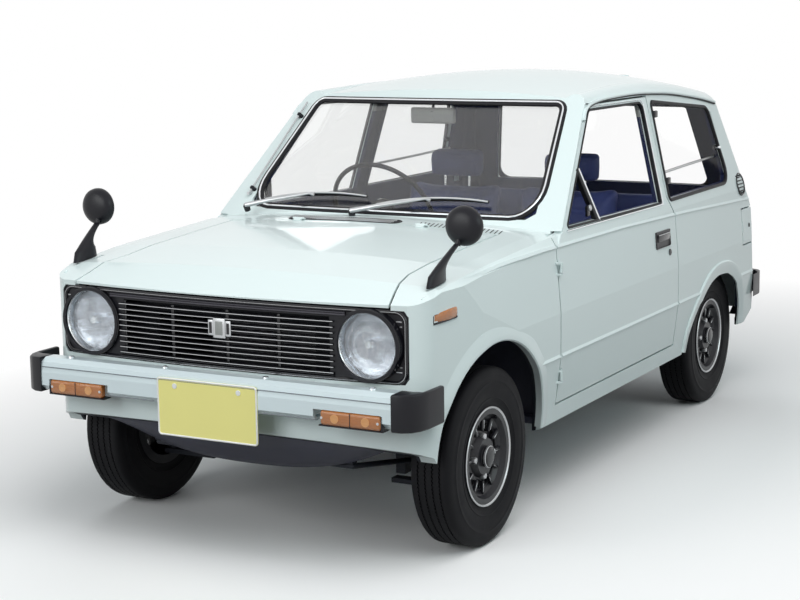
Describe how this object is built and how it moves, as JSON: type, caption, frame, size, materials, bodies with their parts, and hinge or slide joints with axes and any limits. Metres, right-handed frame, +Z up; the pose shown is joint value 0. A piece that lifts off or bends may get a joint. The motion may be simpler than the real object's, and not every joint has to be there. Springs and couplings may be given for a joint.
{
  "type": "small car",
  "caption": "Two-door right-hand-drive micro estate car with an opening bonnet, doors, tailgate and fuel flap, steering front wheels and turning road wheels, on leaf-sprung rear axle",
  "frame": {"origin": "on the ground, midway between the axles, on the centre plane", "axes": "front faces -Y, the car's left is +X, up is +Z"},
  "size_m": [1.346, 2.984, 1.2858],
  "materials": {
    "amberLens": "gloss",
    "blackPlastic": "satin",
    "bodyPaint": "gloss",
    "bright": "gloss",
    "bumperRubber": "matte",
    "bumperSteel": "satin",
    "castEngine": "matte",
    "chassisSteel": "satin",
    "dashPlastic": "matte",
    "exhaustSteel": "satin",
    "floorPan": "matte",
    "lampGlass": "gloss",
    "plateYellow": "satin",
    "redLens": "gloss",
    "seatVinyl": "satin",
    "tyreRubber": "matte",
    "wheelSteel": "satin",
    "windowGlass": "gloss"
  },
  "bodies": {
    "carBody": {"amberLamps": "amberLens", "antenna": "bright", "bumperCaps": "bumperRubber", "cowl": "bodyPaint", "dashboard": "dashPlastic", "engine": "castEngine", "exhaust": "exhaustSteel", "fixedGlass": "windowGlass", "floor": "floorPan", "frontArms": "chassisSteel", "frontBumper": "bumperSteel", "frontFrame": "chassisSteel", "frontSeats": "seatVinyl", "fuelTank": "chassisSteel", "grille": "blackPlastic", "headlamps": "lampGlass", "interiorMirror": "blackPlastic", "nose": "bodyPaint", "pillarVents": "blackPlastic", "plateFront": "plateYellow", "rearAxle": "chassisSteel", "rearBumper": "bumperSteel", "rearPanel": "bodyPaint", "rearSeat": "seatVinyl", "roof": "bodyPaint", "sideLeft": "bodyPaint", "sideRight": "bodyPaint", "tailLamps": "redLens", "wingLeft": "bodyPaint", "wingMirrors": "blackPlastic", "wingRight": "bodyPaint", "wipers": "blackPlastic"},
    "doorLeftBody": {"doorLeft": "bodyPaint", "doorGlassLeft": "windowGlass", "handleLeft": "blackPlastic"},
    "doorRightBody": {"doorRight": "bodyPaint", "doorGlassRight": "windowGlass", "handleRight": "blackPlastic"},
    "bonnetBody": {"bonnet": "bodyPaint"},
    "tailgateBody": {"tailgate": "bodyPaint", "tailgateGlass": "windowGlass"},
    "fuelFlapBody": {"fuelFlap": "bodyPaint"},
    "steeringWheelBody": {"steeringWheel": "blackPlastic"},
    "knuckleLeftBody": {"knuckleLeft": "chassisSteel"},
    "knuckleRightBody": {"knuckleRight": "chassisSteel"},
    "wheelFrontLeft": {"tyreFrontLeft": "tyreRubber", "rimFrontLeft": "wheelSteel"},
    "wheelFrontRight": {"tyreFrontRight": "tyreRubber", "rimFrontRight": "wheelSteel"},
    "wheelRearLeft": {"tyreRearLeft": "tyreRubber", "rimRearLeft": "wheelSteel"},
    "wheelRearRight": {"tyreRearRight": "tyreRubber", "rimRearRight": "wheelSteel"}
  },
  "joints": [
    {"name": "doorLeftHinge", "type": "hinge", "parent": "carBody", "child": "doorLeftBody", "pos_m": [0.646, -0.56, 0.6], "axis": [0, 0, -1], "range_deg": [0, 62]},
    {"name": "doorRightHinge", "type": "hinge", "parent": "carBody", "child": "doorRightBody", "pos_m": [-0.646, -0.56, 0.6], "axis": [0, 0, 1], "range_deg": [0, 62]},
    {"name": "bonnetHinge", "type": "hinge", "parent": "carBody", "child": "bonnetBody", "pos_m": [0, -0.6495, 0.858], "axis": [-1, 0, 0], "range_deg": [0, 50]},
    {"name": "tailgateHinge", "type": "hinge", "parent": "carBody", "child": "tailgateBody", "pos_m": [0, 1.19, 1.236], "axis": [1, 0, 0], "range_deg": [0, 75]},
    {"name": "fuelFlapHinge", "type": "hinge", "parent": "carBody", "child": "fuelFlapBody", "pos_m": [0.642, 1.2075, 0.655], "axis": [0, 0, -1], "range_deg": [0, 85]},
    {"name": "steeringTurn", "type": "hinge", "parent": "carBody", "child": "steeringWheelBody", "pos_m": [-0.262, -0.026, 0.812], "axis": [0, 0.8829, 0.4695], "range_deg": [-420, 420]},
    {"name": "steerLeft", "type": "hinge", "parent": "carBody", "child": "knuckleLeftBody", "pos_m": [0.478, -1, 0.257], "axis": [0, 0, 1], "range_deg": [-28, 28]},
    {"name": "steerRight", "type": "hinge", "parent": "carBody", "child": "knuckleRightBody", "pos_m": [-0.478, -1, 0.257], "axis": [0, 0, 1], "range_deg": [-28, 28]},
    {"name": "spinFrontLeft", "type": "hinge", "parent": "knuckleLeftBody", "child": "wheelFrontLeft", "pos_m": [0.558, -1, 0.257], "axis": [1, 0, 0], "continuous": true},
    {"name": "spinFrontRight", "type": "hinge", "parent": "knuckleRightBody", "child": "wheelFrontRight", "pos_m": [-0.558, -1, 0.257], "axis": [1, 0, 0], "continuous": true},
    {"name": "spinRearLeft", "type": "hinge", "parent": "carBody", "child": "wheelRearLeft", "pos_m": [0.526, 1, 0.257], "axis": [1, 0, 0], "continuous": true},
    {"name": "spinRearRight", "type": "hinge", "parent": "carBody", "child": "wheelRearRight", "pos_m": [-0.526, 1, 0.257], "axis": [1, 0, 0], "continuous": true}
  ],
  "couplings": [
    {"joint": "steerLeft", "follows": "steeringTurn", "ratio": 0.0666},
    {"joint": "steerRight", "follows": "steeringTurn", "ratio": 0.0666}
  ]
}
